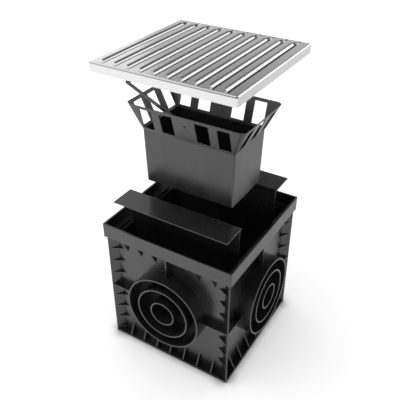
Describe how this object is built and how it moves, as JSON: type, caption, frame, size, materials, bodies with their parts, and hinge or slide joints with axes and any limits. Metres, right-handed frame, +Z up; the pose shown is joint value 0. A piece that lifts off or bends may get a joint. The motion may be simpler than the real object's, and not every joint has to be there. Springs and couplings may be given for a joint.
{
  "type": "yard gully with grate",
  "caption": "Square plastic yard gully with a slotted steel grate, a leaf basket with a lifting handle and two odour-trap baffles, shown lifted apart over the box.",
  "frame": {"origin": "centre of the underside of the box, on the bed it stands on", "axes": "+Z up, the four pipe sides face -Y, +X, +Y and -X, and the louvres of the grate run along Y"},
  "size_m": [0.3292, 0.3292, 0.6497],
  "materials": {
    "black_plastic": "moulded, semi-matt",
    "zinc_steel": "bright zinc, satin"
  },
  "bodies": {
    "box": {"gully_box": "black_plastic"},
    "front_baffle": {"front_baffle": "black_plastic"},
    "rear_baffle": {"rear_baffle": "black_plastic"},
    "basket": {"leaf_basket": "black_plastic"},
    "handle": {"basket_handle": "black_plastic"},
    "grate": {"grate": "zinc_steel"}
  },
  "joints": [
    {"name": "front_baffle_lift", "type": "slide", "parent": "box", "child": "front_baffle", "axis": [0, 0, 1], "range_m": [-0.0778, 0]},
    {"name": "rear_baffle_lift", "type": "slide", "parent": "box", "child": "rear_baffle", "axis": [0, 0, 1], "range_m": [-0.0778, 0]},
    {"name": "basket_lift", "type": "slide", "parent": "front_baffle", "child": "basket", "axis": [0, 0, 1], "range_m": [-0.225, 0]},
    {"name": "grate_lift", "type": "slide", "parent": "basket", "child": "grate", "axis": [0, 0, 1], "range_m": [-0.0444, 0]},
    {"name": "handle_swing", "type": "hinge", "parent": "basket", "child": "handle", "pos_m": [0, 0, 0.531], "axis": [0, 1, 0], "range_deg": [-1.1, 2.4]}
  ],
  "couplings": [
    {"joint": "rear_baffle_lift", "follows": "front_baffle_lift", "ratio": 1}
  ]
}
